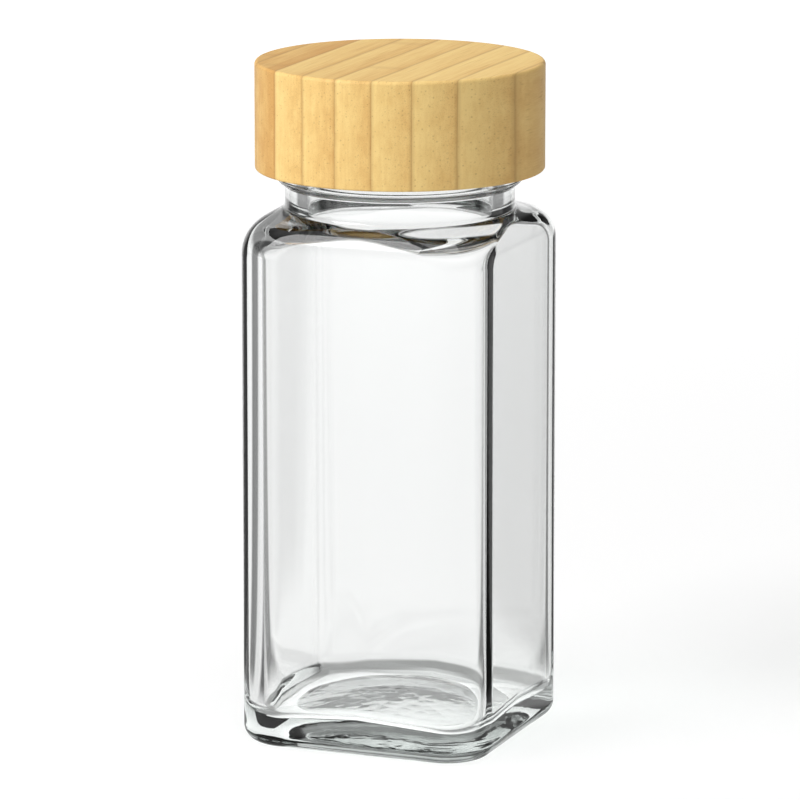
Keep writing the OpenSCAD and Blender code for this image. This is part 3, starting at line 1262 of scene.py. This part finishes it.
@dataclass
class Lid:
    """The screw lid: a bamboo shell, the threaded plastic cap glued into it, and the loose sealing disc.

    The jar's rim has pressed a ring into the disc's underside. It is listed from its edge towards its middle,
    each distance from the middle with its depth, and is alike on both sides.
    """

    radius: float = 23.49
    low: float = GlassJar.bead_high
    high: float = 111.1
    low_edge: float = 0.35
    top_edge: float = 0.6
    side_low: float = 96.0
    side_high: float = 109.0
    top_rings: tuple[float, ...] = (15.0, 7.0, 0.0)
    bore: float = 20.15
    bore_top: float = 107.6
    bore_top_edge: float = 0.2
    bore_low_edge: float = 0.25
    cap_radius: float = 20.1
    cap_low: float = 93.9
    cap_low_edge: float = 0.25
    cap_top_edge: float = 0.5
    cap_middle: float = 100.0
    cap_ring: float = 9.0
    cap_bore: float = 19.0
    roof: float = 106.4
    roof_edge: tuple[Point, ...] = ((-0.25, 0.0), (-0.02, -0.2), (0.0, -0.5))
    lip: float = 18.1
    lip_high: float = 105.0
    lip_low: float = 104.38
    lip_edge: float = 0.15
    lip_slope: float = 0.17
    lip_root: Point = (-0.1, 0.05)
    thread_low: float = 94.4
    thread_high: float = 103.5
    room_up: float = 0.1
    room_out: float = 0.05
    skirt_edge: tuple[Point, ...] = ((0.12, 0.15), (0.35, 0.0))
    seal_radius: float = 18.4
    seal_low: float = Sifter.flange_high
    seal_high: float = roof
    seal_edge: float = 0.25
    seal_ring: float = 8.0
    pressed_middle: float = 15.8
    pressed: tuple[Point, ...] = ((1.6, 0.0), (1.2, 0.02), (0.8, 0.1))
    thread: ThreadTurn = ThreadTurn(95.3, 20.0, 1.6, 2.2, 1.0)

    def shell(self) -> bpy.types.Object:
        """Turns the bamboo shell: round outside, with a blind bore for the cap."""
        profile = [(0.0, self.bore_top), (self.bore / 2, self.bore_top)]
        profile += softened((self.bore, self.bore_top), Way.IN, Way.DOWN, self.bore_top_edge)
        profile += softened((self.bore, self.low), Way.UP, Way.OUT, self.bore_low_edge)
        profile += rounded(Edge.LOW_OUTER, (self.radius, self.low), self.low_edge, steps=4)
        profile += [(self.radius, height) for height in spaced(self.side_low, self.side_high, steps=4)]
        profile += rounded(Edge.TOP_OUTER, (self.radius, self.high), self.top_edge, steps=6)
        profile += [(reach, self.high) for reach in self.top_rings]
        piece = Bench("bamboo_shell").turn(profile, steps=144)
        smooth(piece, 40)
        piece.data.materials.append(BambooLaminate().material())
        return settle(piece, Body.LID, "bamboo_lid")

    def _cap_profile(self) -> list[Point]:
        """Lists the cap's profile, from its roof over the lip and down the thread to its top."""
        bore, low, lip = self.cap_bore, self.cap_low, self.lip
        profile = [(reach, self.roof) for reach in (0.0, self.cap_ring, self.seal_radius)]
        profile += [(bore + wider, self.roof + above) for wider, above in self.roof_edge]
        profile += [(bore, self.seal_low), (bore + self.lip_root[0], self.lip_high + self.lip_root[1])]
        profile += softened((lip, self.lip_high), Way.OUT, Way.DOWN, self.lip_edge)
        profile += [(lip, self.lip_low + self.lip_slope), (lip + self.lip_edge, self.lip_low)]
        profile += [(bore, height) for height in spaced(self.thread_high, self.thread_low, steps=44)]
        profile += [(bore + wider, low + above) for wider, above in self.skirt_edge]
        profile += softened((self.cap_radius, low), Way.IN, Way.UP, self.cap_low_edge)
        profile.append((self.cap_radius, self.cap_middle))
        profile += rounded(Edge.TOP_OUTER, (self.cap_radius, self.bore_top), self.cap_top_edge, steps=4)
        return profile + [(self.cap_ring, self.bore_top), (0.0, self.bore_top)]

    def _in_bore(self, place: Vector) -> bool:
        """Says whether a place in metres is on the threaded part of the cap's bore."""
        reach, height = math.hypot(place.x, place.y) / MM, place.z / MM
        beside = self.thread_low - self.room_up < height < self.thread_high + self.room_up
        return beside and reach <= self.cap_bore + self.room_out

    def cap(self, plastic: bpy.types.Material) -> bpy.types.Object:
        """Turns the plastic cap and raises its thread.

        Args:
            plastic: The finish.

        Returns:
            The cap.
        """
        piece = Bench("thread_cap").turn(self._cap_profile(), steps=128)
        self.thread.raise_on(piece, self._in_bore)
        smooth(piece, 50)
        piece.data.materials.append(plastic)
        return settle(piece, Body.LID, "inner_cap")

    def disc(self) -> bpy.types.Object:
        """Turns the sealing disc, with the ring that the rim has pressed into its underside."""
        low, high, radius = self.seal_low, self.seal_high, self.seal_radius
        middle = self.pressed_middle
        profile = [(0.0, low), (self.seal_ring, low)]
        profile += [(middle - beside, low + depth) for beside, depth in self.pressed]
        profile += [(middle + beside, low + depth) for beside, depth in reversed(self.pressed)]
        profile += rounded(Edge.LOW_OUTER, (radius, low), self.seal_edge, steps=4)
        profile += rounded(Edge.TOP_OUTER, (radius, high), self.seal_edge, steps=4)
        profile += [(self.seal_ring, high), (0.0, high)]
        piece = Bench("seal_disc").turn(profile, steps=112)
        smooth(piece, 50)
        piece.data.materials.append(FoamDisc().material())
        return settle(piece, Body.SEAL, "sealing_disc")

    def build(self, plastic: bpy.types.Material) -> list[bpy.types.Object]:
        """Models the lid's three pieces, and gives the cap its finish."""
        return [self.shell(), self.cap(plastic), self.disc()]


# Studio


@dataclass(frozen=True)
class Lamp:
    """A soft square lamp that faces the jar, with its azimuth counted from the camera's."""

    name: str
    azimuth: float
    elevation: float
    width: float
    watts: float


@dataclass
class Studio:
    """The room: a pale floor, soft lamps, and dim corners and sides that only glass and gloss see. For them
    the floor also has painted light under the jar and a painted shadow round its foot.

    On the floor an ease goes by the distance from the jar's axis, and on the walls by how steeply a direction
    rises, from 0 at the horizon to 1 overhead. Round the jar it goes by the degrees from the far side. So do
    the corners, each with how dim it is.
    """

    azimuth: float = 21.5
    elevation: float = 12.0
    distance: float = 950.0
    aim: float = 55.0
    lens: float = 262.0
    lamps: tuple[Lamp, ...] = (Lamp("key", -58.0, 38.0, 700.0, 10.5), Lamp("top", 20.0, 78.0, 800.0, 5.0))
    lamp_distance: float = 1300.0
    lamp_aim: float = 60.0
    fill: float = 0.41
    fill_fall: float = 0.27
    far_side: float = 202.5
    corners: tuple[Point, ...] = ((46.0, 0.78), (90.0, 0.95))
    corner_width: float = 17.0
    front: Ease = Ease(105.0, 150.0, 0.0, 0.16)
    sides_start: Ease = Ease(28.0, 38.0)
    sides_end: Ease = Ease(95.0, 110.0, 0.15, 0.0)
    wall: Ease = Ease(0.04, 0.22, 1.0, 0.34)
    ceiling: Ease = Ease(0.6, 0.85, 0.0, 0.5)
    corner_top: Ease = Ease(0.5, 0.8, 1.0, 0.0)
    floor_radius: float = 400.0
    floor_growth: float = 2.45
    floor_rings: int = 3
    floor_colour: Colour = grey(0.86)
    floor_shade: Colour = grey(0.03)
    glow: Ease = Ease(0.0, 1000.0, 0.17, 0.6)
    # Under the jar, in its shadow, the floor glows more for gloss and glass: painted light.
    painted_glow_under_jar: Ease = Ease(11.0, 20.0, 0.3, 0.0)
    dim_start: Ease = Ease(35.0, 60.0)
    # Round the jar's foot the floor darkens for gloss and glass: a painted contact shadow.
    contact_shadow_start: Ease = Ease(21.0, 25.0)
    contact_shadow_end: Ease = Ease(30.0, 35.0, 0.65, 0.0)

    def dimness(self, board: Board, x: Value, y: Value) -> Value:
        """Gives how dim the room is around the jar, the same on the floor and on the walls.

        Args:
            board: The board that takes the nodes.
            x: How far a place or a direction lies towards +X.
            y: How far it lies towards +Y.

        Returns:
            From 0 in the bright parts to 1 in the dim corners.
        """
        back = towards(self.far_side)
        turned = abs(x * back.y - y * back.x).turned_from(x * back.x + y * back.y)
        dim = turned.eased(self.front).most(turned.eased(self.sides_start) * turned.eased(self.sides_end))
        for corner, depth in self.corners:
            form = Ease(self.corner_width / 2, self.corner_width, depth, 0.0)
            dim = dim.most(abs(turned - corner).eased(form))
        return dim

    def _floor_material(self) -> bpy.types.Material:
        """Builds the floor's finish, which glows a little for the camera, for gloss and through glass, with a
        painted glow under the jar and a painted shadow round its foot that only gloss and glass see.
        """
        made = bpy.data.materials.new("pale_floor")
        board = Board(made)
        x, y, _ = board.parts(board.place())
        reach = (x * x + y * y) ** 0.5
        camera, sharp = board.rays()
        # The floor under the jar glows more for gloss and glass: painted light over the jar's shadow, seen
        # through the base.
        level = camera.most(sharp) * reach.eased(self.glow) + sharp * reach.eased(self.painted_glow_under_jar)
        matte = board.add("ShaderNodeBsdfDiffuse", None, {"Color": self.floor_colour})
        glow = board.add("ShaderNodeEmission", None, {"Color": grey(1.0), "Strength": level})
        both = board.add("ShaderNodeAddShader", None, {0: matte, 1: glow})
        shade = board.add("ShaderNodeEmission", None, {"Color": self.floor_shade, "Strength": 1.0})
        around = self.dimness(board, x, y) * reach.eased(self.dim_start)
        # The ring round the jar's foot is a painted contact shadow, which gloss and glass see through the
        # base.
        foot = reach.eased(self.contact_shadow_start) * reach.eased(self.contact_shadow_end)
        board.show(board.mixed(sharp * around.most(foot), both, shade))
        return made

    def floor(self) -> None:
        """Lays the pale floor, a disc with wider and wider rings round it."""
        bpy.ops.object.select_all(action="DESELECT")
        radius = self.floor_radius * MM
        bpy.ops.mesh.primitive_circle_add(vertices=96, radius=radius, fill_type="NGON", enter_editmode=True)
        wider = (self.floor_growth, self.floor_growth, 1.0)
        for _ in range(self.floor_rings):
            bpy.ops.mesh.extrude_edges_move(TRANSFORM_OT_translate=NO_MOVE)
            bpy.ops.transform.resize(value=wider, center_override=(0, 0, 0))
        bpy.ops.object.mode_set(mode="OBJECT")
        piece = bpy.context.object
        piece.name = "floor"
        piece.data.materials.append(self._floor_material())

    def hang(self, lamp: Lamp) -> None:
        """Hangs a lamp, which glass doesn't show."""
        way = towards(self.azimuth + lamp.azimuth, lamp.elevation)
        place = way * self.lamp_distance * MM + Vector((0.0, 0.0, self.lamp_aim * MM))
        bpy.ops.object.light_add(type="AREA", location=place)
        light = bpy.context.object
        light.name = lamp.name
        light.data.size = lamp.width * MM
        light.data.energy = lamp.watts
        light.visible_transmission = False
        light.rotation_euler = (-way).to_track_quat("-Z", "Y").to_euler()

    def world(self) -> None:
        """Lights the room plainly. Gloss and glass see its walls, which grow grey above the floor."""
        room = bpy.data.worlds.new("room")
        bpy.context.scene.world = room
        board = Board(room)
        x, y, height = board.parts(board.add("ShaderNodeTexCoord").outputs["Generated"])
        wall = height.eased(self.wall) + height.eased(self.ceiling)
        wall = wall * (1 - self.dimness(board, x, y) * height.eased(self.corner_top))
        camera, sharp = board.rays()
        left = towards(self.azimuth - 90.0)
        fill = self.fill + self.fill_fall * (x * left.x + y * left.y)
        strength = camera + (1 - camera) * (sharp * wall + (1 - sharp) * fill)
        board.show(board.add("ShaderNodeBackground", None, {"Color": grey(1.0), "Strength": strength}))

    def camera(self) -> None:
        """Sets the camera at the photograph's viewing angle."""
        way = towards(self.azimuth, self.elevation)
        aim = Vector((0.0, 0.0, self.aim * MM))
        bpy.ops.object.camera_add(location=aim + way * self.distance * MM)
        camera = bpy.context.object
        camera.name = "camera"
        camera.rotation_euler = (-way).to_track_quat("-Z", "Y").to_euler()
        camera.data.lens = self.lens
        bpy.context.scene.camera = camera

    def build(self) -> None:
        """Sets up the whole room."""
        self.floor()
        for lamp in self.lamps:
            self.hang(lamp)
        self.world()
        self.camera()
        bpy.context.scene.view_settings.view_transform = "Standard"


def main() -> None:
    """Builds the jar from its base to its lid, reports each piece and builds the room."""
    logging.basicConfig(level=logging.INFO, format="%(name)s: %(message)s")
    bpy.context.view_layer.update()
    pieces = GlassJar().build()
    plastic = MouldedPlastic().material()
    pieces += Sifter().build(plastic)
    pieces += Lid().build(plastic)
    for piece in pieces:
        LOG.info("%s: %d points, %d faces", piece.name, len(piece.data.vertices), len(piece.data.polygons))
    Studio().build()


if __name__ == "__main__":
    main()
